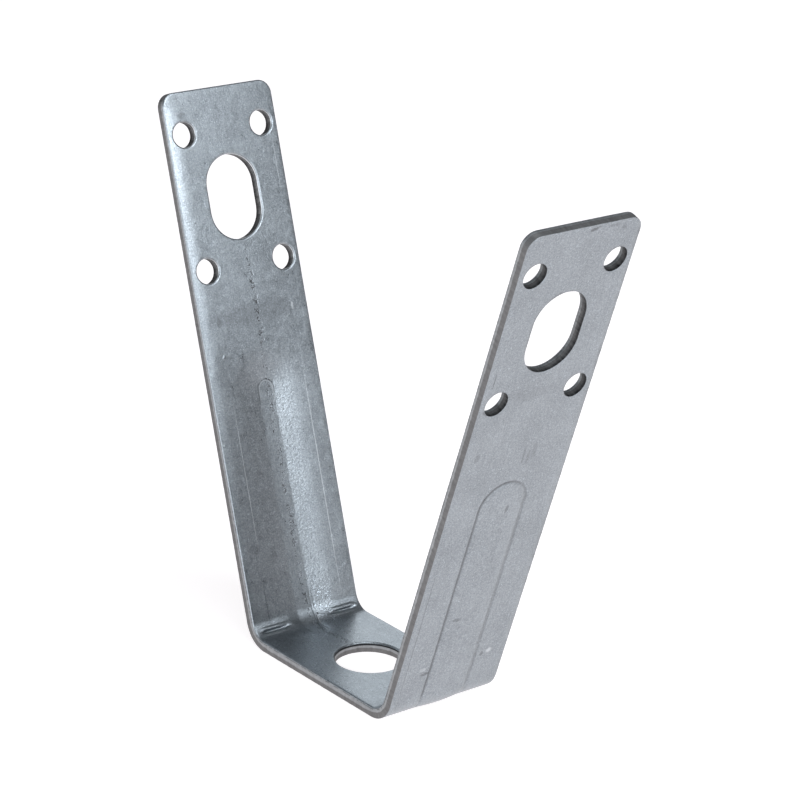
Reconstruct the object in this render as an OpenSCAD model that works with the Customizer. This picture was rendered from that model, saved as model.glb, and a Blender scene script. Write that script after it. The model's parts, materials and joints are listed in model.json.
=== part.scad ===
// Roofing sheet hanger: one strip of sheet steel, punched, ribbed and folded into a splayed U.
// The origin is the middle of the base's underside. X runs along the base, Y across the strip.

/* [Strip] */
// Width of the strip
strip_w = 25; // [23.5:0.5:40]
// Thickness of the sheet
sheet_t = 2; // [1.5:0.1:3]
// Rounding of the edges on the inner side, drawn in by the punch
edge_r = 0.3; // [0.2:0.05:1]
// Radius of the legs' end corners
corner_r = 2.8; // [1.5:0.1:6]

/* [Fold] */
// Length of the base, between the corners that its underside makes with the legs' outer faces
base_l = 41.6; // [38:0.2:80]
// Length of each leg, from that corner to its end
leg_l = 105.5; // [92:0.5:160]
// Lean of each leg away from upright, in degrees
lean = 18.25; // [5:0.25:30]
// Radius of the bends on the inner side
bend_r = 3.8; // [2.5:0.1:5]

/* [Holes] */
// Diameter of the hole in the base for the threaded rod
rod_d = 13; // [6:0.5:18]
// Width of the slot in each leg
slot_w = 11.4; // [5:0.1:12]
// Length of the slot, end to end
slot_l = 16.2; // [12:0.1:20]
// Distance from a leg's end to the slot's middle, which the screw holes stand round
slot_from_end = 21.1; // [18.5:0.1:25.5]
// Diameter of the screw holes
screw_d = 4.8; // [3:0.1:5.5]
// Spacing of the screw holes across the strip
screw_across = 17.6; // [12:0.1:18]
// Spacing of the screw holes along the leg
screw_along = 26; // [22:0.5:30]

/* [Rib] */
// Width of the rib on the outer face
rib_w = 10.5; // [8:0.1:12]
// Height of its crown over the outer face
rib_h = 0.3; // [0.15:0.05:0.5]
// Height along the leg at which the rib ends
rib_top = 52.5; // [40:0.5:60]
// Width of the line that the die's edge leaves round the crown
die_line_w = 0.55; // [0.3:0.05:0.8]
// Depth of that line
die_line_d = 0.12; // [0.05:0.01:0.2]
// Width of the groove's floor, on the inner side of the rib
groove_w = 3.6; // [2:0.1:5]
// Width of each sloping side of the groove in the leg
groove_side_w = 3.6; // [2:0.1:3.8]
// Depth of the groove in the leg
groove_d = 0.5; // [0.3:0.05:0.8]
// Depth of the groove in the base
groove_base_d = 0.2; // [0.1:0.05:0.3]
// Length of the groove's straight stretch in the base
groove_base_l = 0.9; // [0.2:0.1:3]

/* [Bend creases] */
// Width of the creases that the punch leaves in the middle of each bend
crease_w = 0.6; // [0.3:0.05:0.9]
// Height of the lip along each side of a crease
lip_h = 0.12; // [0.06:0.01:0.2]
// Distance from the rib's side to a crease
crease_from_rib = 0.2; // [0.1:0.1:1.5]
// Distance from a crease to the strip's edge
crease_from_edge = 1.2; // [1:0.1:3]

/* [Hidden] */
$fn = 96;
// How far a cutting shape reaches into open space, past the face that it cuts
reach = 1;
// The bends draw the sheet thinner by this much on every side, from the base's end to the legs' ends
drawn = 0.01;
// How far a bend goes on inside the base, as a turn and as a length
lap_turn = 1;
lap = 0.1;
steel = [0.66, 0.68, 0.71];

// Sections are drawn with X outwards from the outer face and Y across the strip
inner_face = -sheet_t;
bend_outer_r = bend_r + sheet_t;
bend_turn = 90 - lean;
// From an outer corner to where its bend starts, along the base and along the leg
bend_start = bend_outer_r * tan(bend_turn / 2);
bend_x = base_l / 2 - bend_start;

// The crown is an arc across the strip with a step at its foot, inside the line that the die leaves.
// Round the bend it sinks into the base's underside
crown_foot = 0.04;
crown_w = rib_w - die_line_w - 2 * crown_foot;
crown_r = arc_radius(crown_w, rib_h - crown_foot);
crown_fn = 720;
crest_bend_r = bend_outer_r - rib_h;
crest_sink = 0.05;
rib_end_height = rib_top - rib_w / 2;

die_line_r = arc_radius(die_line_w, die_line_d);
// How far short of the base the line stops, as a turn of the bend
die_line_short = 15;
groove_slope = groove_side_w / groove_d;
groove_bend_r = bend_r + groove_d;

crease_r = crease_w / 2;
crease_near = rib_w / 2 + crease_from_rib;
crease_l = strip_w / 2 - crease_from_edge - crease_near;
lip_r = crease_w;
lip_turn = asin((crease_r + lip_r / 2) / bend_r);
// How much sooner the lips end than their crease
lip_end = 0.4;

// Radius of an arc that is w wide and h high
function arc_radius(w, h) = (pow(w / 2, 2) + pow(h, 2)) / (2 * h);

// Middle of an arc of radius r that touches the height z and a line `out` beyond the leg's outer face
function arc_z(r, z) = z + r;
function arc_x(r, out, z) = base_l / 2 + (out - r + sin(lean) * arc_z(r, z)) / cos(lean);
// How far up the leg that arc ends
function arc_leg(r, out, z) = sin(lean) * (arc_x(r, out, z) - base_l / 2) + cos(lean) * arc_z(r, z);

// Frame of a leg: X outwards, Y across and Z up the leg, from the outer corner
module on_leg()
    translate([base_l / 2, 0, 0])
        rotate([0, lean, 0]) children();

// The same frame, from a bend's axis at x and z
module leg_side(x, z)
    translate([x, 0, z])
        rotate([0, lean, 0]) children();

// Frame of the base, from a bend's axis at x and z: X downwards, Y across and Z to the base's middle
module base_side(x, z)
    translate([x, 0, z])
        rotate([0, 90, 0])
            mirror([0, 0, 1]) children();

module both_sides() {
    children();
    mirror([0, 1, 0]) children();
}

// Carries a section round a bend: from X, where a stretch along Z ends, away from Z
module round_bend(turn)
    rotate([-90, 0, 0])
        rotate_extrude(angle = turn) children();

// Turns a section about the outward direction, from along the leg to the strip's side
module round_corner(turn)
    rotate([0, 90, 0])
        rotate([0, 0, 90])
            rotate_extrude(angle = turn) mirror([1, -1]) children();

// The half of a section on the strip's positive side
module half_section()
    intersection() {
        children();
        translate([inner_face - 2 * reach, 0]) square(strip_w);
    }

// Section of the sheet where it is w wide, less a little on every side, with both inner edges rounded
module sheet_section(w, less)
    difference() {
        translate([inner_face + less, less - w / 2]) square([sheet_t - 2 * less, w - 2 * less]);
        for (side = [0, 1])
            mirror([0, side])
                translate([inner_face + less, w / 2 - less])
                    difference() {
                        translate([-reach, -edge_r]) square(reach + edge_r);
                        translate([edge_r, -edge_r]) circle(edge_r);
                    }
    }

// Section of the crown, carried on inwards until it is buried in the sheet
module crown_section()
    intersection() {
        translate([rib_h - crown_r, 0]) circle(crown_r, $fn = crown_fn);
        translate([inner_face / 2, -crown_w / 2]) square([sheet_t, crown_w]);
    }

// The crown's round end, which is the same arc turned about the outward direction
module crown_end()
    intersection() {
        translate([rib_h - crown_r, 0, 0]) sphere(crown_r, $fn = crown_fn);
        round_corner(180) translate([inner_face / 2, 0]) square([sheet_t, crown_w / 2]);
    }

module die_line_section()
    translate([die_line_r - die_line_d, 0]) circle(die_line_r);

// Section of the groove outwards from its floor, with its sides carried on into open space
module groove_section(less) {
    floor_half = groove_w / 2 - less;
    mouth = groove_d + reach;
    mouth_half = floor_half + groove_slope * (mouth - less);
    polygon([
        [-less, -floor_half],
        [-less, floor_half],
        [-mouth, mouth_half],
        [-mouth, -mouth_half]
    ]);
}

// One half of the base, from the middle to the bend
module half_base()
    base_side(bend_x, bend_outer_r)
        translate([bend_outer_r, 0, 0]) linear_extrude(bend_x) sheet_section(strip_w, 0);

// A leg with its bend, its end and the round corners of its end
module leg() {
    straight = leg_l - bend_start - corner_r;
    between = strip_w - 2 * corner_r;
    leg_side(bend_x, bend_outer_r) {
        round_bend(bend_turn + lap_turn) translate([bend_outer_r, 0]) sheet_section(strip_w, drawn);
        translate([bend_outer_r, 0, 0]) linear_extrude(straight) sheet_section(strip_w, drawn);
        translate([bend_outer_r, between / 2, straight])
            rotate([90, 0, 0])
                linear_extrude(between) half_section() sheet_section(2 * corner_r, drawn);
        both_sides()
            translate([bend_outer_r, between / 2, straight])
                round_corner(90) half_section() sheet_section(2 * corner_r, drawn);
    }
}

// The rib's outer side: its round end, down the leg and round the bend until it is buried in the base
module crown() {
    straight = rib_end_height - arc_leg(crest_bend_r, rib_h, crest_sink);
    outer_face = crest_bend_r - rib_h;
    leg_side(arc_x(crest_bend_r, rib_h, crest_sink), arc_z(crest_bend_r, crest_sink)) {
        translate([outer_face, 0, straight]) crown_end();
        translate([outer_face, 0, 0]) linear_extrude(straight) crown_section();
        round_bend(bend_turn) translate([outer_face, 0]) crown_section();
    }
}

// The line round the crown, over its end, down both its sides and onto the bend
module die_line() {
    straight = rib_end_height - bend_start;
    leg_side(bend_x, bend_outer_r) {
        translate([bend_outer_r, 0, straight])
            round_corner(180) translate([0, rib_w / 2]) die_line_section();
        both_sides() {
            translate([bend_outer_r, rib_w / 2, 0]) linear_extrude(straight) die_line_section();
            round_bend(bend_turn - die_line_short) translate([bend_outer_r, rib_w / 2]) die_line_section();
        }
    }
}

// The rib's inner side: its round end, down the leg, round the bend and into the base
module groove() {
    floor_out = inner_face + groove_d;
    floor_z = sheet_t - groove_base_d;
    x = arc_x(groove_bend_r, floor_out, floor_z);
    z = arc_z(groove_bend_r, floor_z);
    straight = rib_end_height - arc_leg(groove_bend_r, floor_out, floor_z);
    leg_side(x, z) {
        translate([groove_bend_r, 0, straight]) round_corner(180) half_section() groove_section(0);
        translate([groove_bend_r, 0, 0]) linear_extrude(straight) groove_section(0);
        round_bend(bend_turn) translate([groove_bend_r, 0]) groove_section(0);
    }
    base_side(x, z) {
        translate([groove_bend_r, 0, groove_base_l])
            round_corner(180) half_section() groove_section(drawn);
        translate([groove_bend_r, 0, -lap]) linear_extrude(groove_base_l + lap) groove_section(drawn);
    }
}

// A round bar of radius r along each side's crease, sunk under the bend's inner side, short by `end`
module along_crease(r, sunk, turn, end)
    translate([bend_x, 0, bend_outer_r])
        rotate([0, -bend_turn / 2 - turn, 0])
            both_sides()
                translate([0, crease_near + end, -bend_r - sunk])
                    rotate([-90, 0, 0]) cylinder(r = r, h = crease_l - 2 * end);

module crease() along_crease(crease_r, 0, 0, 0);

module crease_lips()
    for (side = [-1, 1]) along_crease(lip_r, lip_r - lip_h, side * lip_turn, lip_end);

// The slot and the four screw holes round it, with X along the leg
module hole_pattern() {
    square([slot_l - slot_w, slot_w], center = true);
    for (along = [-1, 1]) {
        translate([along * (slot_l - slot_w) / 2, 0]) circle(d = slot_w);
        for (across = [-1, 1])
            translate([along * screw_along, across * screw_across] / 2) circle(d = screw_d);
    }
}

module leg_holes()
    on_leg()
        translate([inner_face - reach, 0, leg_l - slot_from_end])
            rotate([0, 90, 0])
                linear_extrude(sheet_t + 2 * reach) hole_pattern();

// One side of the hanger: the sheet with what stands out from it, less all that is cut or pressed in
module side()
    difference() {
        union() {
            difference() {
                union() {
                    half_base();
                    leg();
                }
                die_line();
            }
            crown();
            crease_lips();
        }
        groove();
        crease();
        leg_holes();
    }

module hanger()
    color(steel)
        difference() {
            for (end = [0, 1]) mirror([end, 0, 0]) side();
            translate([0, 0, -reach]) cylinder(d = rod_d, h = sheet_t + 2 * reach);
        }

hanger();
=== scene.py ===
import json
import math

import bmesh
import bpy
import numpy as np
from mathutils import Matrix, Vector, kdtree
from mathutils.geometry import delaunay_2d_cdt


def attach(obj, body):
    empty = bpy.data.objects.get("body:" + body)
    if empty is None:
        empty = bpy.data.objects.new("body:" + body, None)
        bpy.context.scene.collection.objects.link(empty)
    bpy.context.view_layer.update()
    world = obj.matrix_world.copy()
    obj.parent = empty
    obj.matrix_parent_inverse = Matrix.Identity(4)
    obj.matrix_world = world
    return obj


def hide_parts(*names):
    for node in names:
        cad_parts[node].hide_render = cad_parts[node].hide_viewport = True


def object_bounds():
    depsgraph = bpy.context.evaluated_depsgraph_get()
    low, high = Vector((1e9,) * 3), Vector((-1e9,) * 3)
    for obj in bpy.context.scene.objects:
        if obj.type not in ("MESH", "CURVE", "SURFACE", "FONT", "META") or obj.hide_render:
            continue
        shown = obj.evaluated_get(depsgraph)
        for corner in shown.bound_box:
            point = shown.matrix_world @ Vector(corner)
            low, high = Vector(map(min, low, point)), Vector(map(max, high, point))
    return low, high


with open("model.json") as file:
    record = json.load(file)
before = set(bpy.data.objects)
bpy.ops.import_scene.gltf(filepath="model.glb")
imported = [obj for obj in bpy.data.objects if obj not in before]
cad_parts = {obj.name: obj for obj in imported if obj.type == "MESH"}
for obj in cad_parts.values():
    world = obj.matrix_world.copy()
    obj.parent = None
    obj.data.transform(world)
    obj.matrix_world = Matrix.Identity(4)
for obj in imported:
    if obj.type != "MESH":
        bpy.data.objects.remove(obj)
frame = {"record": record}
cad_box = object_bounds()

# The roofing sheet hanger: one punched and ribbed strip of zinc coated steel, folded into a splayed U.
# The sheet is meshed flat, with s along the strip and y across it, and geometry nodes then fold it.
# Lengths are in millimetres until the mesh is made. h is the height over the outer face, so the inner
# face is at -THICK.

MM = 0.001

# The strip and its fold. The record gives the slot's width but not its length.
THICK = 2.0
BASE_L = 41.6
LEG_L = 105.5
CORNER_R = 2.8
BEND_R = 3.8
SLOT_L = 16.2

# The cut edges: the width beside them that is meshed by itself, the radius that the punch drew in,
# the depth of the smooth burnished part, the outer face's broken edge and the slant of the torn part
EDGE_RING = 1.2
EDGE_RING_BY_HOLE = 0.78
HOLE_RING = 0.46
EDGE_ROLL = 0.3
RIM_ROLL = 0.4
BURNISHED = 0.84
BURNISHED_BASE = 1.08
BREAK = 0.05
EDGE_TAPER = 0.05
HOLE_TAPER = 0.06
EDGE_SEED = 11
HOLE_SEED = 20

# The inner face's slope beside the outline, which is wider and deeper up the left leg's front side
TAIL_W = 1.3
TAIL_TOP_W = 2.9
TAIL_D = 0.04
TAIL_TOP_D = 0.22
TAIL_POWER = 2.2

# The rib: its crown outside, the line that the die leaves round it, and its groove inside
RIB_W = 10.5
RIB_H = 0.3
RIB_TOP = 52.5
LINE_W = 0.55
LINE_D = 0.12
CROWN_FOOT = 0.04
CREST_SINK = 0.05
LINE_FADE_BACK = 0.45
FLOOR_W = 3.6
FLANK_W = 5.2
FLANK_SOFT = 0.3
FLANK_AT_BASE = 0.25
GROOVE_D = 0.5
GROOVE_BASE_D = 0.2
GROOVE_BASE_L = 0.9

# The fine raised line beside the groove's floor: its path along and across the strip
LEDGE_H = 0.11
LEDGE_W = 0.17
LEDGE_PATH = ((15.2, 1.25), (20.5, 2.25), (27.0, 1.9))

# How the pressing bends the flat sheet: a dish beside the rib, a bow above it, soft waves, and a
# strip along the right leg's front side that the shear tilted. Each pair is the stretch of height up
# the leg over which a form comes in or fades out.
DISH_D = 0.24
DISH_SOFT = 1.5
DISH_IN = (5, 13)
DISH_OUT = (44, 57)
OUTER_DISH = 0.6
BOW_D = 0.06
BOW_IN = (50, 64)
WAVE_H = 0.006
TILT_D = 0.05
TILT_W = 1.8
TILT_IN = (3, 8)
TILT_OUT = (48, 60)

# The creases inside each bend, with a lip along each side
CREASE_W = 0.7
CREASE_D = 0.4
LIP_H = 0.13
LIP_HALF_W = 0.4
LIP_OFF = 0.28
LIP_BASE_SHARE = 0.55
CREASE_FROM = 5.45
CREASE_TO = 11.1

# Spacing of the mesh's points
GRID = 0.8
BEND_GRID = 0.5
FINE = 0.12
FINE_HALF = 1.5
LEDGE_STEP = 0.3
DENT_STEP = 0.16
DENT_REACH = 2.2
COLUMNS_BY_EDGE = (1.65, 2.15, 2.7)
FLOOR_EDGE_LINES = (-0.45, -0.26, -0.07, 0.1, 0.27)
FLANK_LINES = (2.4, 3.0, 3.8, 4.7, 5.7, 6.7, 7.8)
CROWN_LINES = (1.2, 2.4, 3.4, 4.2)


def mounts_named(part):
    """The record's mounts whose name holds a word, with their places in millimetres."""
    found = [m for m in frame["record"]["mounts"] if part in m["name"]]
    return [(m, Vector(m["pos_m"]) / MM) for m in found]


# What the frame gives: the strip's width, the lean and the holes
WIDTH = (cad_box[1].y - cad_box[0].y) / MM
ROD_R = mounts_named("rod_hole")[0][0]["dims"]["r_mm"]
SCREW_R = mounts_named("screw")[0][0]["dims"]["r_mm"]
SLOT_R = mounts_named("slot")[0][0]["dims"]["r_mm"]
LEG_AXIS = Vector(mounts_named("right_slot")[0][0]["axis"])
LEAN = math.atan2(-LEG_AXIS.z, LEG_AXIS.x)
SLOT_AT = mounts_named("right_slot")[0][1]

TURN = math.pi / 2 - LEAN
OUTER_R = BEND_R + THICK
BEND_START = OUTER_R * math.tan(TURN / 2)
BEND_X = BASE_L / 2 - BEND_START
BEND_L = (OUTER_R - THICK / 2) * TURN
LEG_FROM = BEND_X + BEND_L
STRIP_END = LEG_FROM + LEG_L - BEND_START
HALF_W = WIDTH / 2
RIB_END = RIB_TOP - RIB_W / 2
UP_LEG = (math.sin(LEAN), math.cos(LEAN))


def height_of(place):
    """How far up the leg a mount lies, from the outer corner of its bend."""
    return (abs(place.x) - BASE_L / 2) * UP_LEG[0] + place.z * UP_LEG[1]


def along(height):
    """Where on the flat strip a height up the leg lies."""
    return LEG_FROM + height - BEND_START


def height_at(s):
    """How far up the leg a place on the flat strip lies."""
    return np.abs(s) - LEG_FROM + BEND_START


def smooth(low, high, v):
    """0 below low and 1 above high, with a soft step between them."""
    t = np.clip((v - low) / (high - low), 0, 1)
    return t * t * (3 - 2 * t)


class Bend:
    """An arc round the bend, of radius r, whose far side lies `out` over the leg and at height z."""

    def __init__(self, r, out, z):
        self.r = r
        self.z = z + r
        self.x = BASE_L / 2 + (out - r + UP_LEG[0] * self.z) / UP_LEG[1]

    def height(self, s):
        """The arc's height over the outer face."""
        turned = np.clip((np.abs(s) - BEND_X) / BEND_L, 0, 1) * TURN
        shift_x = self.x - BEND_X
        shift_z = self.z - OUTER_R
        return self.r + shift_x * np.sin(turned) - shift_z * np.cos(turned) - OUTER_R


CREST = Bend(OUTER_R - RIB_H, RIB_H, CREST_SINK)
FLOOR = Bend(BEND_R + GROOVE_D, GROOVE_D - THICK, THICK - GROOVE_BASE_D)
GROOVE_END = FLOOR.x - GROOVE_BASE_L


def from_spine(s, y, start):
    """Distance from a rib's middle line, which runs from start on the strip to the rib's round end."""
    a = np.abs(s)
    end = along(RIB_END)
    past = np.where(a > end, a - end, np.where(a < start, start - a, 0))
    return np.hypot(y, past)


def noise(s, y, size, seed):
    """A soft random field, mostly between -1 and 1, the same each time: waves that cross at random."""
    waves = np.random.default_rng(seed)
    wave_count = 9
    total = np.zeros(np.shape(s))
    for _ in range(wave_count):
        turn = waves.uniform(0, math.tau)
        step = math.tau / (size * waves.uniform(0.7, 1.6))
        phase = waves.uniform(0, math.tau)
        total += np.sin(step * (s * math.cos(turn) + y * math.sin(turn)) + phase)
    return total * 2 / wave_count


# Small dents and raised spots: leg (1 right, -1 left), face, place across and up the leg, half sizes,
# and height, which is below 0 for a dent
DENTS = [
    (1, "outer", 1.1, 46.4, 0.4, 0.9, -0.12),
    (1, "outer", 0.8, 43.2, 0.5, 1.1, 0.05),
    (1, "outer", -2.7, 22.0, 1.1, 0.5, 0.09),
    (1, "outer", -2.4, 21.2, 0.9, 0.4, -0.07),
    (1, "outer", -7.0, 11.3, 0.9, 0.75, 0.1),
    (1, "outer", -6.3, 10.3, 0.9, 0.5, -0.09),
    (1, "outer", 6.7, 11.0, 0.5, 0.6, -0.09),
    (1, "outer", 8.2, 11.4, 0.8, 0.6, 0.06),
    (1, "outer", 11.3, 11.0, 0.5, 0.9, -0.06),
    (-1, "inner", -8.5, 54.8, 0.3, 0.3, 0.08),
    (-1, "inner", -4.8, 15.5, 0.5, 1.4, 0.04),
    (-1, "inner", -9.3, 17.5, 0.9, 0.8, 0.03),
]

DENT_FALL = 1.4


def dented(s, y, face):
    """Height of a face's dents, outwards."""
    total = np.zeros(np.shape(s))
    for side, on, across, height, half_w, half_h, rise in DENTS:
        if on != face:
            continue
        far = ((s - side * along(height)) / half_h) ** 2 + ((y - across) / half_w) ** 2
        total += rise * np.exp(-DENT_FALL * far)
    return total


def outer_height(s, y):
    """The outer face: the crown, the line round it, the tilted strip, the dish and the dents."""
    d = from_spine(s, y, 0)
    crown_half = RIB_W / 2 - LINE_W / 2 - CROWN_FOOT
    crest_fall = RIB_H - CROWN_FOOT
    arc_r = (crown_half**2 + crest_fall**2) / (2 * crest_fall)
    crown = CREST.height(s) - d**2 / (2 * arc_r)
    crown = np.where(d < crown_half + 0.01, np.maximum(crown, 0), 0)
    crown = np.where(np.abs(s) > BEND_X, crown, 0)
    deep = 1 - ((d - RIB_W / 2) / (LINE_W / 2)) ** 2
    fades = smooth(BEND_X + 0.2 * BEND_L, BEND_X + 0.5 * BEND_L, np.abs(s))
    fades = fades * (1 - LINE_FADE_BACK * smooth(0, 4, y))
    line = -LINE_D * np.maximum(deep, 0) * fades
    height = height_at(s)
    tilt = smooth(TILT_W - HALF_W, -HALF_W, y) * (1 - smooth(*TILT_OUT, height))
    tilt = tilt * smooth(*TILT_IN, height)
    tilted = np.where(s > 0, -TILT_D * tilt, 0)
    return crown + line + tilted + OUTER_DISH * dish(s, y) + dented(s, y, "outer")


def crease_height(s, y):
    """The crease and its lips in the middle of each bend, inwards."""
    off = (np.abs(s) - BEND_X - BEND_L / 2) * BEND_R / (OUTER_R - THICK / 2)
    half = CREASE_W / 2
    ends = smooth(CREASE_FROM - 0.1, CREASE_FROM + 0.5, np.abs(y))
    ends = ends * (1 - smooth(CREASE_TO - 0.6, CREASE_TO + 0.05, np.abs(y)))
    sunk = -CREASE_D * np.maximum(1 - (off / half) ** 2, 0)
    lip_mid = half + LIP_OFF
    lips = LIP_H * np.maximum(1 - ((np.abs(off) - lip_mid) / LIP_HALF_W) ** 2, 0)
    lips = lips * np.where(off > 0, 1, LIP_BASE_SHARE)
    return (sunk + lips) * ends


def rolled(s, y):
    """How deep the inner face is drawn in beside the strip's outline, most at the left leg's front."""
    past_s = np.abs(s) - (STRIP_END - CORNER_R)
    past_y = np.abs(y) - (HALF_W - CORNER_R)
    in_corner = (past_s > 0) & (past_y > 0)
    w = CORNER_R - np.where(in_corner, np.hypot(past_s, past_y), np.maximum(past_s, past_y))
    share = (s < 0) * smooth(0, 48, height_at(s)) * smooth(6, 10, -y) * (1 - smooth(-1.5, 2.2, past_s))
    width = (TAIL_W + (TAIL_TOP_W - TAIL_W) * share) * (1 + 0.06 * noise(s, y, 4, 31))
    deep = TAIL_D + (TAIL_TOP_D - TAIL_D) * share
    return deep * np.clip(1 - w / width, 0, 1) ** TAIL_POWER


def inner_height(s, y):
    """The inner face: the groove, the creases, the sheet's dish and bow, the ledge and the dents."""
    d = from_spine(s, y, GROOVE_END)
    deep = FLOOR.height(s) + THICK
    crisp = FLANK_AT_BASE + (1 - FLANK_AT_BASE) * smooth(BEND_X, LEG_FROM + 2, np.abs(s))
    flank_w = np.maximum(FLANK_W * crisp * deep / GROOVE_D, 0.01)
    short = 1 - np.maximum(d - FLOOR_W / 2, 0) / flank_w
    flank = (short + np.hypot(short, FLANK_SOFT)) / (1 + math.hypot(1, FLANK_SOFT))
    groove = deep * np.where(short > -1, flank, 0)
    wave = WAVE_H * noise(s, y, 6, 5)
    pressed = groove - crease_height(s, y) + wave * smooth(0.5, 3, d) - dented(s, y, "inner")
    bow = BOW_D * (y / HALF_W) ** 2 * smooth(*BOW_IN, height_at(s))
    return -THICK + pressed + rolled(s, y) + dish(s, y) + bow - ledge(s, y)


def dish(s, y):
    """How far the pressed rib pulls the flat sheet beside it outwards."""
    beside = smooth(*DISH_IN, height_at(s)) * (1 - smooth(*DISH_OUT, height_at(s)))
    return DISH_D * np.maximum(1 - np.hypot(y, DISH_SOFT) / HALF_W, 0) * beside


def ledge_at(s):
    """How far across the strip the ledge lies."""
    return np.interp(np.abs(s), *zip(*LEDGE_PATH))


def ledge(s, y):
    """The fine raised line along the back edge of the groove's floor, with a dip on its front side."""
    start, middle, end = (s0 for s0, _ in LEDGE_PATH)
    lies = smooth(start, start + 0.8, np.abs(s)) * (1 - smooth(middle, end, np.abs(s)))
    off = (y - ledge_at(s)) / LEDGE_W
    rise = np.maximum(1 - off**2, 0)
    dip = np.maximum(1 - (off + 2) ** 2, 0)
    return LEDGE_H * (rise - 0.8 * dip) * lies


def rows():
    """Places along half of the strip at which the mesh has a row of points."""
    crease = BEND_X + BEND_L / 2
    beside_rows = 7
    base = np.linspace(0, BEND_X, round(BEND_X / GRID) + 1)
    low = np.linspace(BEND_X, crease - FINE_HALF, beside_rows)
    mid = np.linspace(crease - FINE_HALF, crease + FINE_HALF, round(2 * FINE_HALF / FINE) + 1)
    high = np.linspace(crease + FINE_HALF, LEG_FROM, beside_rows)
    leg_end = STRIP_END - CORNER_R
    leg = np.linspace(LEG_FROM, leg_end, round((leg_end - LEG_FROM) / GRID) + 1)
    return np.concatenate([base[:-1], low[:-1], mid[:-1], high[:-1], leg])


ROWS = rows()


class Loop:
    """A closed cut edge: its points on the flat strip and the direction into the sheet at each."""

    def __init__(self, points, inward):
        self.points = np.array(points)
        self.inward = np.array(inward)

    def ring(self, w):
        """The loop moved into the sheet by w, which is a number or one value for each point."""
        return self.points + self.inward * np.reshape(w, (-1, 1))


def arc(centre, r, start, end, count):
    """Points and outward directions along an arc, leaving out its last point."""
    turns = np.linspace(start, end, count, endpoint=False)
    ways = np.stack([np.cos(turns), np.sin(turns)], axis=-1)
    return np.array(centre) + r * ways, ways


def outline():
    """The strip's outline, counter-clockwise, with a point at each row of the long sides."""
    points, inward = [], []
    long_side = np.concatenate([-ROWS[:0:-1], ROWS])
    end_points = 26
    corner_points = 14
    across = np.linspace(-HALF_W + CORNER_R, HALF_W - CORNER_R, end_points)
    end = STRIP_END - CORNER_R
    side = HALF_W - CORNER_R

    def straight(run, way):
        """A straight part, with the direction into the sheet."""
        points.extend(run)
        inward.extend([way] * len(run))

    def corner(s, y, start):
        """A round corner about a centre, from a start angle on."""
        at, ways = arc((s, y), CORNER_R, start, start + math.pi / 2, corner_points)
        points.extend(at)
        inward.extend(-ways)

    straight([(s, -HALF_W) for s in long_side[:-1]], (0, 1))
    corner(end, -side, -math.pi / 2)
    straight([(STRIP_END, y) for y in across[:-1]], (-1, 0))
    corner(end, side, 0)
    straight([(s, HALF_W) for s in long_side[:0:-1]], (0, -1))
    corner(-end, side, math.pi / 2)
    straight([(-STRIP_END, y) for y in across[:0:-1]], (1, 0))
    corner(-end, -side, math.pi)
    return Loop(points, inward)


def round_hole(s, y, r, count):
    """A round hole with a number of points."""
    points, ways = arc((s, y), r, 0, math.tau, count)
    return Loop(points, ways)


def slot_hole(s, y, r, length):
    """A slot with round ends, longer along the strip."""
    half = length / 2 - r
    end_points, side_points = 30, 6
    points, ways = [], []
    for side in (1, -1):
        turn = 0 if side > 0 else math.pi
        at, out = arc((s + side * half, y), r, turn - math.pi / 2, turn + math.pi / 2, end_points)
        points.extend(at)
        ways.extend(out)
        run = np.linspace(s + side * half, s - side * half, side_points + 1)[:-1]
        points.extend((v, y + side * r) for v in run)
        ways.extend([(0, side)] * len(run))
    return Loop(points, ways)


def holes():
    """The rod hole, the slots and the screw holes, where the record puts them."""
    rod_points, screw_points = 96, 48
    found = [round_hole(0, 0, ROD_R, rod_points)]
    slot_height = height_of(SLOT_AT)
    for side in (1, -1):
        found.append(slot_hole(side * along(slot_height), 0, SLOT_R, SLOT_L))
    for _, place in mounts_named("screw"):
        side = 1 if place.x > 0 else -1
        found.append(round_hole(side * along(height_of(place)), place.y, SCREW_R, screw_points))
    return found


def contours(distances, start):
    """Runs of points at set distances from the right half's spine, and points on the spine."""
    end = along(RIB_END)
    arc_step = 0.55
    clear_of_end = 0.2
    straight = [s for s in ROWS if start <= s <= end - clear_of_end]
    lines = []
    for d in distances:
        turns = np.linspace(-math.pi / 2, math.pi / 2, max(3, round(math.pi * d / arc_step)) + 1)
        far = [(end + d * math.cos(t), d * math.sin(t)) for t in turns]
        lines.append([(s, -d) for s in straight] + far + [(s, d) for s in reversed(straight)])
    middle = [(s, 0.0) for s in straight] + [(end, 0.0)]
    return lines, middle


def inside(loop, points):
    """Which points lie inside a closed ring."""
    x, y = points[:, 0], points[:, 1]
    hit = np.zeros(len(points), bool)
    last = loop[-1]
    for this in loop:
        crosses = (this[1] > y) != (last[1] > y)
        if crosses.any():
            with np.errstate(divide="ignore", invalid="ignore"):
                at = (last[0] - this[0]) * (y - this[1]) / (last[1] - this[1]) + this[0]
            hit ^= crosses & (x < at)
        last = this
    return hit


def kept_apart(points, others, gap):
    """The points that lie at least gap from all others."""
    tree = kdtree.KDTree(len(others))
    for i, (s, y) in enumerate(others):
        tree.insert((s, y, 0), i)
    tree.balance()
    return [p for p in points if tree.find((p[0], p[1], 0))[2] >= gap]


def patch_points(face):
    """Fine points over each dent of a face."""
    found = []
    for side, on, across, height, half_w, half_h, _ in DENTS:
        if on != face:
            continue
        s0 = side * along(height)
        for ds in np.arange(-DENT_REACH * half_h, DENT_REACH * half_h, DENT_STEP):
            for dy in np.arange(-DENT_REACH * half_w, DENT_REACH * half_w, DENT_STEP):
                found.append((s0 + ds, across + dy))
    return found


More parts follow.
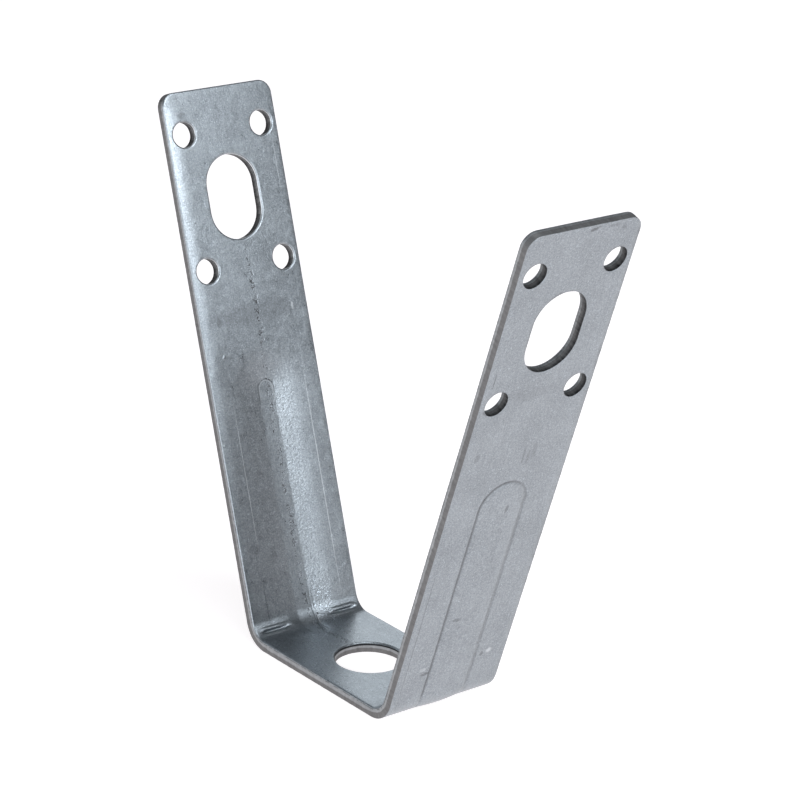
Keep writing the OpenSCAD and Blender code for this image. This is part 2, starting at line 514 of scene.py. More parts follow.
def grid_points():
    """An even field of points over the strip, with closer columns round the bends and by the edge."""
    found = []
    columns = np.linspace(-HALF_W, HALF_W, round(WIDTH / GRID) + 1)
    by_edge = HALF_W - np.array(COLUMNS_BY_EDGE)
    columns = [y for y in columns if abs(y) < by_edge[-1] - 0.4] + [*by_edge, *-by_edge]
    close = np.linspace(-HALF_W, HALF_W, round(WIDTH / BEND_GRID) + 1)
    ends = np.arange(STRIP_END - CORNER_R + GRID, STRIP_END, GRID)
    for s in np.concatenate([ROWS, ends]):
        in_bend = BEND_X - 1 < s < LEG_FROM + 1
        for y in close if in_bend else columns:
            found.append((s, y))
            if s > 0:
                found.append((-s, y))
    return found


def flat_face(rings, lines, middles, face):
    """Triangles over one face of the flat strip, between its outline and its holes."""
    fixed, edges = [], []

    def add_run(run, closed):
        """Adds a line of points that the triangles have to follow."""
        first = len(fixed)
        fixed.extend((float(s), float(y)) for s, y in run)
        count = len(run)
        edges.extend((first + i, first + i + 1) for i in range(count - 1))
        if closed:
            edges.append((first + count - 1, first))

    for ring in rings:
        add_run(ring, True)
    ring_count = len(fixed)
    for run in lines:
        add_run(run, False)
    fixed.extend((float(s), float(y)) for s, y in middles)
    fine_gap, grid_gap = 0.1, 0.42
    held = fixed + kept_apart(patch_points(face), fixed, fine_gap)
    spread = kept_apart(grid_points(), held, grid_gap)
    points = np.array(held + spread)
    allowed = inside(rings[0], points)
    for ring in rings[1:]:
        allowed &= ~inside(ring, points)
    allowed[:ring_count] = True
    kept = np.flatnonzero(allowed)
    place = {int(k): i for i, k in enumerate(kept)}
    links = [(place[a], place[b]) for a, b in edges if a in place and b in place]
    flat = [Vector(points[k]) for k in kept]
    touching = 1e-5
    made, _, tris, _, _, _ = delaunay_2d_cdt(flat, links, [], 0, touching)
    made = np.array([(v.x, v.y) for v in made])
    tris = np.array([t for t in tris if len(t) == 3])
    middle = made[tris].mean(axis=1)
    good = inside(rings[0], middle)
    for ring in rings[1:]:
        good &= ~inside(ring, middle)
    return made, tris[good]


class Skin:
    """Gathers the flat strip's mesh: points, faces, and how much each point is part of a cut face."""

    def __init__(self):
        self.flat, self.wall, self.faces = [], [], []
        self.count = 0

    def add(self, s, y, h, wall, faces):
        """Adds points, and the faces between them."""
        self.flat.append(np.stack([s, y, h], axis=-1))
        self.wall.append(np.broadcast_to(wall, np.shape(s)).astype(float))
        self.faces.extend(tuple(int(i) + self.count for i in f) for f in faces)
        self.count += len(s)


def cut_edge(skin, loop, ring_w, roll, seed, taper):
    """The wall round a loop: drawn in at the inner face, sheared, torn, and sharp at the outer face."""
    count = len(loop.points)
    s0, y0 = loop.points[:, 0], loop.points[:, 1]
    ragged = noise(s0 * 3, y0 * 3, 2.6, seed) * 0.5 + noise(s0 * 3, y0 * 3, 7, seed + 1) * 0.5

    # Each step of the profile: how far into the sheet it lies, its height, and how much it is cut face
    profile = []
    steps = 10
    closer_to_cut = 1.6
    for i in range(steps, -1, -1):
        w = ring_w * (i / steps) ** closer_to_cut
        ring = loop.ring(w)
        in_roll = np.clip(1 - w / roll, 0, 1)
        h = inner_height(ring[:, 0], ring[:, 1]) + roll * (1 - np.sqrt(1 - in_roll**2))
        profile.append((w, h, smooth(0.75, 1, in_roll)))

    at_cut = np.zeros(count)
    shear_from = profile[-1][1] + 0.05
    burnished = BURNISHED + (BURNISHED_BASE - BURNISHED) * (np.abs(s0) < BEND_X)
    breaks_at = burnished - THICK + 0.1 * ragged
    profile.append((at_cut, shear_from, 1.0))
    profile.append((at_cut, (shear_from + breaks_at) / 2, 1.0))
    profile.append((at_cut, breaks_at, 1.0))
    torn = taper * (0.75 + 0.5 * ragged)
    profile.append((torn * 0.7, breaks_at + 0.1, 1.0))
    profile.append((torn, np.full(count, -BREAK * 1.6) - 0.03 * ragged, 1.0))
    outer_w = edge_break(loop, seed)
    outer = loop.ring(outer_w)
    end = outer_height(outer[:, 0], outer[:, 1])
    profile.append((torn * 0.6 + outer_w * 0.4, end - BREAK * 0.35, 0.7))
    profile.append((outer_w, end, 0.0))

    first = skin.count
    for w, h, wall in profile:
        ring = loop.ring(w)
        skin.add(ring[:, 0], ring[:, 1], np.broadcast_to(h, (count,)), wall, [])
    for row in range(len(profile) - 1):
        for i in range(count):
            j = (i + 1) % count
            a = first + row * count
            skin.faces.append((a + i, a + j, a + count + j, a + count + i))


def edge_ring(edge):
    """How far in the strip's edge is meshed by itself: less where a screw hole lies beside it."""
    s = np.abs(edge.points[:, 0])
    width = np.full(len(s), EDGE_RING)
    for _, place in mounts_named("right_screw"):
        near = 1 - smooth(SCREW_R, SCREW_R + 1.6, np.abs(s - along(height_of(place))))
        # There are two screw holes at each height, so each takes half of the change
        width -= (EDGE_RING - EDGE_RING_BY_HOLE) / 2 * near
    return width


def edge_break(loop, seed):
    """How far the outer face's own edge lies inside the cut, with the shear's small wobble."""
    s0, y0 = loop.points[:, 0], loop.points[:, 1]
    return BREAK * (1.5 + 0.55 * noise(s0 * 2, y0 * 2, 3, seed + 7))


def guide_lines():
    """The lines that the mesh follows on the inner and the outer face, each with its middle points."""
    half_floor, half_line = FLOOR_W / 2, LINE_W / 2
    crown_half = RIB_W / 2 - half_line - CROWN_FOOT
    inner_d = [0.9, *(half_floor + off for off in FLOOR_EDGE_LINES), *FLANK_LINES]
    outer_d = [*CROWN_LINES, crown_half, crown_half + 0.03]
    outer_d += [RIB_W / 2 + k * half_line for k in (-1, -0.5, 0, 0.5, 1)] + [RIB_W / 2 + 0.7]
    ledge_s = np.arange(LEDGE_PATH[0][0], LEDGE_PATH[2][0], LEDGE_STEP)
    inner_lines, inner_middle = [], []
    outer_lines, outer_middle = [], []
    for side in (1, -1):
        for off in (-3, -2, -1, 0, 1):
            inner_lines.append([(side * s, ledge_at(s) + off * LEDGE_W) for s in ledge_s])
        lines, middle = contours(inner_d, GROOVE_END)
        inner_lines += [[(side * s, y) for s, y in run] for run in lines]
        inner_middle += [(side * s, y) for s, y in middle]
        lines, middle = contours(outer_d, BEND_X + 0.1)
        outer_lines += [[(side * s, y) for s, y in run] for run in lines]
        outer_middle += [(side * s, y) for s, y in middle]
    return (inner_lines, inner_middle), (outer_lines, outer_middle)


def hanger_mesh():
    """The whole skin of the flat strip: its inner and outer face and the wall round each cut."""
    edge = outline()
    skin = Skin()
    loops = [(edge, edge_ring(edge), EDGE_ROLL, EDGE_SEED, EDGE_TAPER)]
    for i, cut in enumerate(holes()):
        ring_w = np.full(len(cut.points), HOLE_RING)
        loops.append((cut, ring_w, RIM_ROLL, HOLE_SEED + 3 * i, HOLE_TAPER))
    inner_rings = [loop.ring(ring_w) for loop, ring_w, _, _, _ in loops]
    outer_rings = [loop.ring(edge_break(loop, seed)) for loop, _, _, seed, _ in loops]
    inner_guides, outer_guides = guide_lines()
    made, tris = flat_face(inner_rings, *inner_guides, "inner")
    skin.add(made[:, 0], made[:, 1], inner_height(made[:, 0], made[:, 1]), 0.0, tris)
    made, tris = flat_face(outer_rings, *outer_guides, "outer")
    skin.add(made[:, 0], made[:, 1], outer_height(made[:, 0], made[:, 1]), 0.0, tris)
    for loop, ring_w, roll, seed, taper in loops:
        cut_edge(skin, loop, ring_w, roll, seed, taper)
    return skin


class Value:
    """A socket in a node tree, so that its maths reads as an expression."""

    def __init__(self, tree, socket):
        self.tree = tree
        self.socket = socket

    def _math(self, operation, *others, first=None):
        values = [self if first is None else first, *others]
        return self.tree.node("ShaderNodeMath", {"operation": operation}, values)

    def __add__(self, other):
        return self._math("ADD", other)

    __radd__ = __add__

    def __sub__(self, other):
        return self._math("SUBTRACT", other)

    def __rsub__(self, other):
        return self._math("SUBTRACT", self, first=other)

    def __mul__(self, other):
        return self._math("MULTIPLY", other)

    __rmul__ = __mul__

    def __truediv__(self, other):
        return self._math("DIVIDE", other)

    def power(self, other):
        return self._math("POWER", other)

    def least(self, other):
        return self._math("MINIMUM", other)

    def most(self, other):
        return self._math("MAXIMUM", other)

    def size(self):
        """The value without its sign."""
        return self._math("ABSOLUTE")

    def side(self):
        """1 or -1, by the value's sign."""
        return self._math("SIGN")

    def sine(self):
        return self._math("SINE")

    def cosine(self):
        return self._math("COSINE")

    def step(self, low, high):
        """0 at low and 1 at high, with a soft step between them."""
        inputs = {"Value": self, "From Min": low, "From Max": high}
        return self.tree.node("ShaderNodeMapRange", {"interpolation_type": "SMOOTHSTEP"}, inputs)

    def band(self, middle, half, soft):
        """1 within half of a middle value, fading over a soft edge."""
        return 1 - (self - middle).size().step(half, half + soft)


class Tree:
    """A node tree being built."""

    def __init__(self, tree):
        self.nodes = tree.nodes
        self.links = tree.links
        self.nodes.clear()

    def node(self, kind, settings=None, inputs=None, output=0):
        """Adds any node, links or sets its inputs, and gives back one of its outputs."""
        made = self.nodes.new(kind)
        for name, value in (settings or {}).items():
            setattr(made, name, value)
        pairs = inputs.items() if isinstance(inputs, dict) else enumerate(inputs or [])
        for key, value in pairs:
            if isinstance(value, Value):
                self.links.new(value.socket, made.inputs[key])
            elif value is not None:
                made.inputs[key].default_value = value
        return Value(self, made.outputs[output]) if made.outputs else None

    def outputs(self, made, count):
        """The first outputs of the node that a value comes from."""
        return [Value(self, made.socket.node.outputs[i]) for i in range(count)]


class Finish(Tree):
    """A material being built."""

    def __init__(self, name):
        self.material = bpy.data.materials.new(name)
        self.material.use_nodes = True
        super().__init__(self.material.node_tree)

    def noise(self, at, per_mm, detail=2.0, rough=0.5):
        """Soft noise between 0 and 1, with a number of waves to the millimetre."""
        inputs = {"Vector": at, "Scale": per_mm, "Detail": detail, "Roughness": rough}
        return self.node("ShaderNodeTexNoise", {"noise_dimensions": "3D"}, inputs)

    def mix(self, share, first, second):
        """A colour between two colours."""
        inputs = {0: share, 6: first, 7: second}
        return self.node("ShaderNodeMix", {"data_type": "RGBA"}, inputs, 2)

    def scaled(self, at, ways):
        """A vector with each part multiplied, to stretch a pattern."""
        return self.node("ShaderNodeVectorMath", {"operation": "MULTIPLY"}, [at, ways])


def hanger_object(material):
    """The strip, meshed flat, with its outer face down, then folded by the nodes."""
    skin = hanger_mesh()
    flat_points = np.concatenate(skin.flat)
    mesh = bpy.data.meshes.new("flat_strip")
    mesh.from_pydata((flat_points * (MM, MM, -MM)).tolist(), [], skin.faces)
    flat = mesh.attributes.new("flat", "FLOAT_VECTOR", "POINT")
    flat.data.foreach_set("vector", flat_points.astype(np.float32).ravel())
    wall = mesh.attributes.new("wall", "FLOAT", "POINT")
    wall.data.foreach_set("value", np.concatenate(skin.wall).astype(np.float32))
    build = bmesh.new()
    build.from_mesh(mesh)
    same_point = 0.002 * MM
    bmesh.ops.remove_doubles(build, verts=build.verts, dist=same_point)
    bmesh.ops.recalc_face_normals(build, faces=build.faces)
    open_edges = sum(not e.is_manifold for e in build.edges)
    print("hanger:", len(build.verts), "points", len(build.faces), "faces", open_edges, "open edges")
    for face in build.faces:
        face.smooth = True
    build.to_mesh(mesh)
    build.free()
    piece = bpy.data.objects.new("folded_strip", mesh)
    bpy.context.scene.collection.objects.link(piece)
    tree, sizes = fold_strip(material)
    folding = piece.modifiers.new("fold_strip", "NODES")
    folding.node_group = tree
    for identifier, value in sizes.items():
        folding[identifier] = value
    result = piece.evaluated_get(bpy.context.evaluated_depsgraph_get())
    folded = bpy.data.meshes.new_from_object(result)
    folded.name = "folded_strip"
    piece.modifiers.remove(folding)
    piece.data = folded
    return piece


def fold_strip(material):
    """A node tree that folds the flat strip: round each bend, then up along each leg."""
    group = bpy.data.node_groups.new("fold_strip", "GeometryNodeTree")
    sizes = {}
    group.interface.new_socket("Geometry", in_out="INPUT", socket_type="NodeSocketGeometry")
    for name, value in (
        ("Bend start", BEND_X * MM),
        ("Bend length", BEND_L * MM),
        ("Outer radius", OUTER_R * MM),
        ("Turn", TURN),
    ):
        socket = group.interface.new_socket(name, in_out="INPUT", socket_type="NodeSocketFloat")
        sizes[socket.identifier] = value
    group.interface.new_socket("Geometry", in_out="OUTPUT", socket_type="NodeSocketGeometry")
    tree = Tree(group)
    strip, start, length, outer_r, turn = tree.outputs(tree.node("NodeGroupInput"), 5)
    at = tree.node("GeometryNodeInputPosition")
    s, y, low = tree.outputs(tree.node("ShaderNodeSeparateXYZ", None, [at]), 3)
    past = s.size() - start
    turned = (past / length).most(0.0).least(1.0) * turn
    up = (past - length).most(0.0)
    r = outer_r - low
    x = s.size().least(start) + r * turned.sine() + up * turn.cosine()
    z = outer_r - r * turned.cosine() + up * turn.sine()
    place = tree.node("ShaderNodeCombineXYZ", None, [x * s.side(), y, z])
    folded = tree.node("GeometryNodeSetPosition", None, {"Geometry": strip, "Position": place})
    folded = tree.node("GeometryNodeRealizeInstances", None, [folded])
    folded = tree.node("GeometryNodeSetMaterial", None, {"Geometry": folded, "Material": material})
    tree.node("NodeGroupOutput", None, [folded])
    return group, sizes


# Marks on the finish: leg (1 right, -1 left), face, place across and up the leg, half sizes, and
# shade, which is below 0 for a dark mark. Most are stains and scratches; those over the right leg's
# dents are painted shade and painted highlight.
MARKS = [
    (1, "outer", 1.65, 104.6, 0.7, 0.3, -0.55),
    (1, "outer", 1.6, 58.0, 0.25, 1.7, -0.2),
    (1, "outer", 2.7, 57.3, 0.3, 1.5, -0.22),
    (1, "outer", 3.8, 58.6, 0.5, 1.6, -0.16),
    (1, "outer", -9.5, 60.0, 0.5, 0.9, -0.25),
    (1, "outer", -10.8, 76.5, 0.12, 1.6, -0.45),
    # Painted shade and a painted highlight over the right leg's dents
    (1, "outer", 1.1, 46.6, 0.35, 0.8, -0.4),
    (1, "outer", -2.7, 22.2, 1.0, 0.3, -0.35),
    (1, "outer", -6.4, 10.2, 0.9, 0.35, -0.45),
    (1, "outer", -7.2, 11.6, 0.7, 0.4, 0.2),
    (1, "outer", 2.5, 104.9, 0.5, 0.2, -0.4),
    (1, "outer", 6.0, 104.6, 1.2, 0.3, -0.25),
    (1, "outer", 8.4, 104.0, 0.5, 0.7, -0.25),
    # Painted shade in a dent and a painted highlight on the bump beside it
    (1, "outer", 6.7, 11.0, 0.4, 0.5, -0.4),
    (1, "outer", 8.2, 11.4, 0.6, 0.5, 0.3),
    (1, "outer", -0.5, 72.0, 7.0, 1.4, -0.08),
    (-1, "inner", 0.1, 62.0, 8.7, 2.0, -0.2),
    (-1, "inner", -8.3, 61.4, 0.5, 0.8, -0.3),
    (-1, "inner", 8.8, 61.8, 0.25, 0.7, 0.4),
    (-1, "inner", -8.8, 101.0, 1.0, 0.5, -0.35),
    (-1, "inner", -12.0, 38.5, 0.2, 0.3, 0.6),
    (-1, "inner", -8.5, 54.8, 0.2, 0.25, -0.6),
    (-1, "inner", -9.3, 17.5, 1.2, 1.0, -0.2),
    (-1, "inner", -4.8, 15.5, 0.6, 1.6, -0.2),
    (-1, "inner", 10.8, 88.5, 0.1, 4.8, 0.25),
    (-1, "inner", -8.3, 31.0, 0.09, 13.0, 0.38),
    (-1, "inner", -8.6, 6.5, 0.12, 4.0, -0.4),
    (-1, "inner", 8.9, 28.0, 0.1, 20.0, 0.42),
    (1, "outer", -10.9, 20.0, 0.1, 17.0, -0.35),
]


# Colours of the finish
ZINC_DARK = (0.185, 0.199, 0.215, 1)
ZINC_LIGHT = (0.43, 0.455, 0.482, 1)
# Bright crystals, and glint painted as bright specks
CRYSTAL_AND_PAINTED_GLINT = (0.82, 0.9, 1.0, 1)
# Dark of stains, also used for painted shade over dents, in the die's line, at the groove's end and by
# the ledge
STAIN_AND_PAINTED_SHADE = (0.07, 0.068, 0.07, 1)
# Light of scratches, also used for painted highlights on dents, at the groove's end and along the ledge
SCRATCH_AND_PAINTED_HIGHLIGHT = (0.9, 0.92, 0.95, 1)
SHEARED_DARK = (0.2, 0.204, 0.212, 1)
SHEARED_LIGHT = (0.45, 0.46, 0.472, 1)
TORN_DARK = (0.12, 0.117, 0.119, 1)
TORN_LIGHT = (0.27, 0.264, 0.264, 1)
# The dark painted as shade on the holes' walls, also the colour of the nicks round the outline
PAINTED_CUT_SHADE = (0.022, 0.022, 0.024, 1)
# A painted highlight round the left leg's holes
PAINTED_RIM_HIGHLIGHT = (0.95, 0.96, 0.98, 1)

# The painted highlight along the ledge, with painted shade beside it: where across the strip it starts,
# its slope, and its stretch along it
LEDGE_PAINTED_LIGHT_Y = 1.3
LEDGE_PAINTED_LIGHT_SLOPE = 0.185
LEDGE_PAINTED_LIGHT_MID = 17.8
LEDGE_PAINTED_LIGHT_HALF = 2.2

# The row of pits: its place across the strip, and the stretch of height over which it fades out
PITS_Y = 0.65
PITS_OUT = (70, 76)


class ZincSteel(Finish):
    """Satin zinc coated steel that knows where on the flat strip each point of it lies."""

    def __init__(self):
        super().__init__("zinc_steel")
        self.flat = self.node("ShaderNodeAttribute", {"attribute_name": "flat"}, None, 1)
        self.wall = self.node("ShaderNodeAttribute", {"attribute_name": "wall"}, None, 2)
        split = self.node("ShaderNodeSeparateXYZ", None, [self.flat])
        self.s, self.y, self.h = self.outputs(split, 3)

        # Where a point lies: up the leg, on which half, and on which face
        self.height = self.s.size() - (LEG_FROM - BEND_START)
        self.right = self.s.step(-0.5, 0.5)
        self.left = 1 - self.right
        self.face = 1 - self.wall
        outer_half = self.h.step(-THICK * 0.55, -THICK * 0.45)
        self.outer = outer_half * self.face
        self.inner = (1 - outer_half) * self.face
        self.on_base = 1 - self.s.size().step(BEND_X - 2, BEND_X + 1)
        self.on_leg = 1 - self.on_base
        off_sides = 1 - self.y.size().step(11.6, 12.2)
        off_ends = 1 - self.s.size().step(STRIP_END - 1.5, STRIP_END - 0.7)
        self.in_hole = off_sides * off_ends

        # Patterns that more than one part of the finish shares
        self.mottle = self.noise(self.flat, 0.8, 3.0, 0.6)
        self.grain = self.noise(self.flat, 3.4, 2.0, 0.5)
        self.shear = self.noise(self.scaled(self.flat, (1.9, 1.9, 0.5)), 1.0, 3.0, 0.6)
        cells = {"Vector": self.flat, "Scale": 5.6, "Randomness": 1.0}
        crystal = self.node("ShaderNodeTexVoronoi", {"feature": "F1"}, cells, 1)
        split = self.node("ShaderNodeSeparateColor", None, [crystal])
        self.facet_a, self.facet_b, self.facet_c = self.outputs(split, 3)
        # A patch low on the left leg's groove flank where glint is painted as extra bright specks, and
        # where the grain's bumps are stronger
        self.painted_sparkle_patch = self.y.band(4.3, 1.2, 1.6) * self.height.band(2, 3, 5) * self.inner * self.left
        self.pits = self.pitted()
        self.torn = self.torn_part()

    def pitted(self):
        """A row of small pits along the left half's middle, from the base to above the groove."""
        pits_at = self.y - PITS_Y - (self.noise(self.flat, 0.12) - 0.5) * 1.2
        pits = (self.noise(self.flat, 1.1, 1.0) * self.noise(self.flat, 3.1, 1.0)).step(0.27, 0.36)
        pits = pits * pits_at.band(0, 0.3, 0.35) * self.inner * self.left
        return pits * (1 - self.height.step(*PITS_OUT))

    def torn_part(self):
        """The part of a cut face past the line where the shear gave way to a tear."""
        wobble = (self.noise(self.flat, 0.8) - 0.5) * 0.35
        torn_from = BURNISHED - THICK + self.on_base * (BURNISHED_BASE - BURNISHED)
        return (self.h + wobble - torn_from).step(-0.06, 0.08)

    def coat(self):
        """The zinc's colour: clouds, mottle, grain, drawing streaks and bright crystals, lighter on the
        base's inner face, with glint painted as extra bright specks low on the left leg's groove flank.
        """
        cloud = self.noise(self.flat, 0.13, 3.0, 0.55)
        drawn = self.noise(self.scaled(self.flat, (0.05, 1.6, 1.0)), 1.0, 2.0, 0.5)
        tone = 0.5 + (cloud - 0.5) * 0.45 + (self.mottle - 0.5) * 0.35 + (self.grain - 0.5) * 1.1
        tone = tone + (self.facet_a - 0.5) * 0.16 + (drawn - 0.5) * 0.2
        tone = tone + self.on_base * self.inner * 0.2
        # Bright crystal specks all over, with many more painted as glint in the patch on the groove's
        # flank
        crystal_and_glint_specks = self.facet_b.step(0.8, 0.98) * (1 - self.facet_c.step(0.3, 0.8))
        crystal_and_glint_specks = crystal_and_glint_specks * (0.2 + self.painted_sparkle_patch * 0.6)
        return self.mix(crystal_and_glint_specks, self.mix(tone, ZINC_DARK, ZINC_LIGHT), CRYSTAL_AND_PAINTED_GLINT)

    def spots(self):
        """How much the listed marks darken and how much they brighten the coat."""
        dark, light = 0.0, 0.0
        bent = (self.noise(self.flat, 1.3, 2.0) - 0.5) * 0.7
        for side, on, across, up, half_w, half_h, shade in MARKS:
            # Scratches and long stains keep a straight edge, and small stains and the painted shade and
            # highlights over dents get a ragged one
            straight = min(half_w, half_h) < 0.2 or half_h > 1.9
            wobble = 0.0 if straight else bent
            u = (self.y - across + wobble) * (1 / half_w)
            v = (self.height - up + wobble) * (1 / half_h)
            spot = 1 - (u * u + v * v).step(0.3, 1.8)
            spot = spot * (self.right if side > 0 else self.left)
            spot = spot * (self.outer if on == "outer" else self.inner) * abs(shade)
            if shade < 0:
                dark = spot + dark
            else:
                light = spot + light
        return dark, light

    def marked(self, plain):
        """A colour with the marks over it, painted shade in the die's line, painted shade and highlight
        round the groove's top end, the darkened pits, and a painted highlight and shade along the ledge.
        """
        dark, light = self.spots()
        past = (self.height - RIB_END).most(0.0)
        d = (self.y * self.y + past * past).power(0.5)
        # Painted shade, and a painted highlight beside it, along the round top end of the left leg's
        # groove
        groove_end = self.inner * self.left * self.height.step(43, 47)
        dark = dark + d.band(FLOOR_W / 2, 0.05, 0.14) * groove_end * 0.35
        light = light + d.band(FLOOR_W / 2 - 0.26, 0.04, 0.12) * groove_end * 0.22
        # Painted shade in the line that the die leaves round the crown, lighter on the half at positive
        # y
        line = d.band(RIB_W / 2, 0.1, 0.28) * self.outer * self.height.step(3, 6)
        dark = dark + line * (0.5 - self.y.step(0, 4) * 0.22)
        dark = dark + self.pits * 0.7
        # A painted highlight along the ledge, with painted shade beside it
        ledge_y = self.y - LEDGE_PAINTED_LIGHT_Y - (self.s.size() - LEDGE_PATH[0][0]) * LEDGE_PAINTED_LIGHT_SLOPE
        by_ledge = self.s.size().band(LEDGE_PAINTED_LIGHT_MID, LEDGE_PAINTED_LIGHT_HALF, 1.2)
        by_ledge = by_ledge * self.inner * self.left
        light = light + ledge_y.band(0.06, 0.06, 0.1) * by_ledge * 0.75
        dark = dark + ledge_y.band(-0.22, 0.07, 0.1) * by_ledge * 0.45
        # Stains and painted shade darken the coat; scratches and painted highlights brighten it
        return self.mix(light.least(0.8), self.mix(dark.least(0.9) * self.face, plain, STAIN_AND_PAINTED_SHADE), SCRATCH_AND_PAINTED_HIGHLIGHT)

    def cut_face(self):
        """The cut faces' colour: sheared and torn steel, with painted shade on the walls of the legs'
        holes, a line of painted shade round the rod hole's wall by the inner face, and nicks round the
        outline."""
        sheared = self.mix(self.shear, SHEARED_DARK, SHEARED_LIGHT)
        ripped = self.mix(self.shear, TORN_DARK, TORN_LIGHT)
        # Painted shade on the walls of the legs' holes, most by the outer face and more in the left leg
        painted_hole_shade = self.left * 0.3 + 0.35 + self.h.step(-0.9, -0.2) * 0.5
        painted_hole_shade = painted_hole_shade * self.in_hole * self.on_leg
        painted_hole_shade = (painted_hole_shade * (1.6 - self.shear * 1.3)).least(0.94)
        # Painted shade along the rod hole's wall by the inner face
        rim_low = 1.62 - (0.5 - self.s * 0.05) * 0.2
        rod_hole = self.in_hole * self.on_base * (1 - (self.h + rim_low).step(0, 0.12))
        nicks = self.h.band(-1.68, 0.05, 0.1) * (1 - self.in_hole)
        nicks = nicks * self.noise(self.flat, 1.4, 2.0).step(0.42, 0.56) * 0.6
        # The painted shade in the holes, with the nicks round the outline
        shade = painted_hole_shade.most(rod_hole).most(nicks)
        return self.mix(shade, self.mix(self.torn, sheared, ripped), PAINTED_CUT_SHADE)

    def colour(self):
        """The coat and the cut faces together, with a thin painted highlight round the left leg's holes.
        """
        both = self.mix(self.wall, self.marked(self.coat()), self.cut_face())
        # A thin painted highlight on the rim of the left leg's holes, by the inner face
        painted_rim_light = self.wall.band(0.5, 0.2, 0.25) * (1 - self.h.step(-1.5, -1.3))
        painted_rim_light = painted_rim_light * self.in_hole * self.on_leg * self.left
        return self.mix(painted_rim_light * 0.9, both, PAINTED_RIM_HIGHLIGHT)

    def roughness(self):
        """Satin, duller on the cut faces and a little smoother inside the fold."""
        rough = 0.36 + (self.mottle - 0.5) * 0.16 + (self.facet_b - 0.5) * 0.06
        rough = rough + self.wall * 0.14 + self.torn * self.wall * 0.1
        return rough - self.inner * (0.03 + self.on_base * 0.03)

    def relief(self):
        """The normal over fine bumps: grain, peel on the flanks, combing by the front edge, pits."""
        flank = (self.y.size() - FLOOR_W).band(0, 1.6, 0.8) * self.inner * (1 - self.height.step(47, 52))
        peel = self.noise(self.flat, 2.0, 2.0, 0.6)
        bumps = (self.grain - 0.5) * (0.014 + self.painted_sparkle_patch * 0.07)
        bumps = bumps + (self.mottle - 0.5) * 0.02 + (peel - 0.5) * (flank * 0.045)
        combed = self.noise(self.scaled(self.flat, (2.6, 0.5, 1.0)), 1.0, 3.0, 0.6) - 0.5
        front_band = (1 - self.y.step(-12.3, -9.6)) * self.inner * self.left * self.height.step(2, 20)
        bumps = bumps + combed * front_band * 0.04
        bumps = bumps + self.facet_a * 0.002 + (self.shear - 0.5) * self.wall * 0.08 - self.pits * 0.05
        return self.node("ShaderNodeBump", None, {"Strength": 1.0, "Distance": MM, "Height": bumps})


def zinc_steel():
    """The strip's material."""
    sheet = ZincSteel()
    inputs = {"Base Color": sheet.colour(), "Metallic": 1.0, "Roughness": sheet.roughness()}
    inputs["Normal"] = sheet.relief()
    shader = sheet.node("ShaderNodeBsdfPrincipled", None, inputs)
    sheet.node("ShaderNodeOutputMaterial", None, {"Surface": shader})
    return sheet.material


# The floor glows a little by itself, as a lit table does, which keeps it white and the shadow soft
FLOOR_HALF = 6.0
FLOOR_COLOUR = (0.45, 0.437, 0.44, 1)
FLOOR_ROUGHNESS = 0.9
FLOOR_GLOW_COLOUR = (1, 0.972, 0.976, 1)
FLOOR_GLOW = 0.81


def floor():
    """A wide pale floor under the hanger."""
    mesh = bpy.data.meshes.new("floor")
    ways = ((-1, -1), (1, -1), (1, 1), (-1, 1))
    mesh.from_pydata([(FLOOR_HALF * x, FLOOR_HALF * y, 0) for x, y in ways], [], [(0, 1, 2, 3)])
    paint = Finish("floor_paint")
    inputs = {"Base Color": FLOOR_COLOUR, "Roughness": FLOOR_ROUGHNESS}
    inputs.update({"Emission Color": FLOOR_GLOW_COLOUR, "Emission Strength": FLOOR_GLOW})
    shader = paint.node("ShaderNodeBsdfPrincipled", None, inputs)
    paint.node("ShaderNodeOutputMaterial", None, {"Surface": shader})
    mesh.materials.append(paint.material)
    piece = bpy.data.objects.new("floor", mesh)
    bpy.context.scene.collection.objects.link(piece)


# The square soft lights: elevation and azimuth in degrees, the azimuth from +X towards +Y, how far off
# and how wide in metres, and power in watts
SOFTBOXES = [
    ("above", 68, -11, 1.35, 1.0, 7.0),
    ("right_top", 48, 28, 1.1, 0.46, 1.0),
    ("right_high", 30, 18, 1.1, 0.46, 3.65),
    ("right_low", 14, 8, 1.1, 0.46, 2.2),
    ("front_right", 14, -25, 1.1, 0.46, 1.6),
    ("front", 14, -52, 1.1, 0.46, 2.6),
    ("front_left", 14, -82, 1.1, 0.46, 1.6),
    ("left", 15, -130, 1.1, 0.46, 1.3),
    ("back", 22, 141, 1.1, 0.46, 0.85),
]
LIGHT_COLOUR = (0.89, 0.957, 1.0)
LIT_POINT = (0, 0, 0.05)
ROOM_COLOUR = (0.9, 0.95, 1.0, 1)
ROOM_GLOW = 0.17


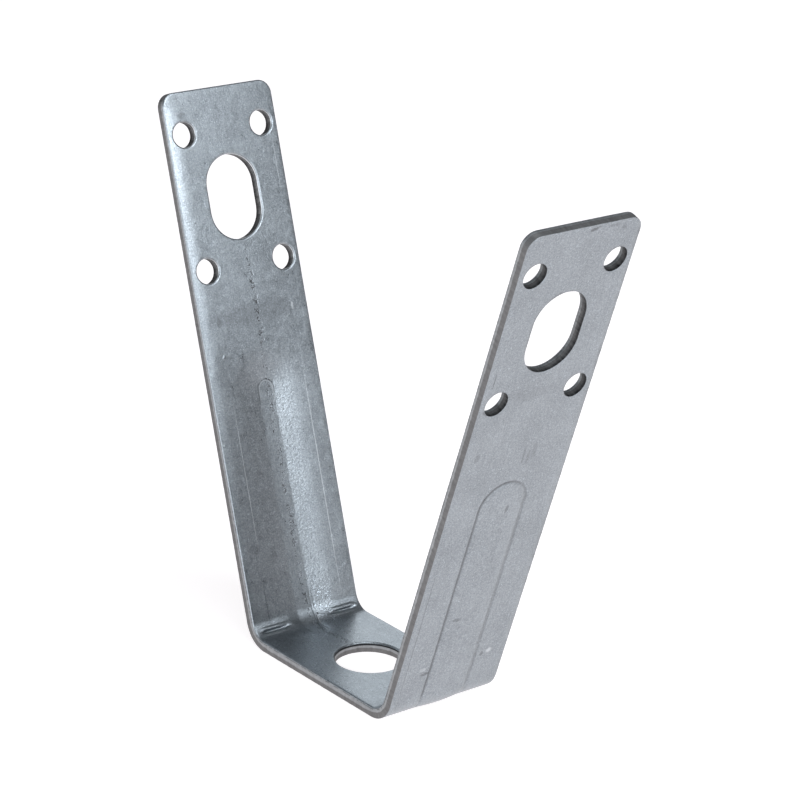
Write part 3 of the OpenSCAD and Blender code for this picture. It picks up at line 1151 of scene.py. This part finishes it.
def softbox(name, elevation, azimuth, far, width, power):
    """A plain square light that faces the hanger's middle."""
    light = bpy.data.lights.new(name, "AREA")
    light.size = width
    light.energy = power
    light.color = LIGHT_COLOUR
    up, round_z = math.radians(elevation), math.radians(azimuth)
    way = Vector((math.cos(round_z) * math.cos(up), math.sin(round_z) * math.cos(up), math.sin(up)))
    lamp = bpy.data.objects.new(name, light)
    lamp.location = Vector(LIT_POINT) + far * way
    lamp.rotation_euler = (-way).to_track_quat("-Z", "Y").to_euler()
    bpy.context.scene.collection.objects.link(lamp)


def studio():
    """Soft light from above and from all sides, most of it from the right, in a pale blue room."""
    world = bpy.data.worlds.new("room")
    bpy.context.scene.world = world
    world.use_nodes = True
    sky = world.node_tree.nodes["Background"]
    sky.inputs["Color"].default_value = ROOM_COLOUR
    sky.inputs["Strength"].default_value = ROOM_GLOW
    for given in SOFTBOXES:
        softbox(*given)
    bpy.context.scene.view_settings.view_transform = "Standard"


# The photo's camera, solved from the strip's straight edges, corners and holes: its turn in degrees,
# its place in millimetres, and its lens in pixels of a picture 800 pixels wide
CAMERA_AZIMUTH = 51.06
CAMERA_ELEVATION = 20.20
CAMERA_ROLL = 1.92
CAMERA_AT = (384.75, -305.56, 234.43)
LENS_PX = 2881.33
PICTURE_PX = 800


def camera():
    """The photograph's view: a long lens from above the right leg's front side."""
    azimuth = math.radians(CAMERA_AZIMUTH)
    elevation = math.radians(CAMERA_ELEVATION)
    roll = math.radians(CAMERA_ROLL)
    back_x = math.sin(azimuth) * math.cos(elevation)
    back_y = -math.cos(azimuth) * math.cos(elevation)
    back = Vector((back_x, back_y, math.sin(elevation)))
    side = Vector((math.cos(azimuth), math.sin(azimuth), 0))
    up = back.cross(side)
    level_side = side * math.cos(roll) + up * math.sin(roll)
    level_up = up * math.cos(roll) - side * math.sin(roll)
    turn = Matrix((level_side, level_up, back)).transposed()
    data = bpy.data.cameras.new("camera")
    data.sensor_width = 36
    data.lens = LENS_PX / PICTURE_PX * data.sensor_width
    data.clip_start, data.clip_end = 0.01, 30
    view = bpy.data.objects.new("camera", data)
    view.matrix_world = Matrix.Translation(Vector(CAMERA_AT) * MM) @ turn.to_4x4()
    bpy.context.scene.collection.objects.link(view)
    bpy.context.scene.camera = view


camera()
studio()
floor()
strip = hanger_object(zinc_steel())
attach(strip, "root")
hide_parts("hanger")
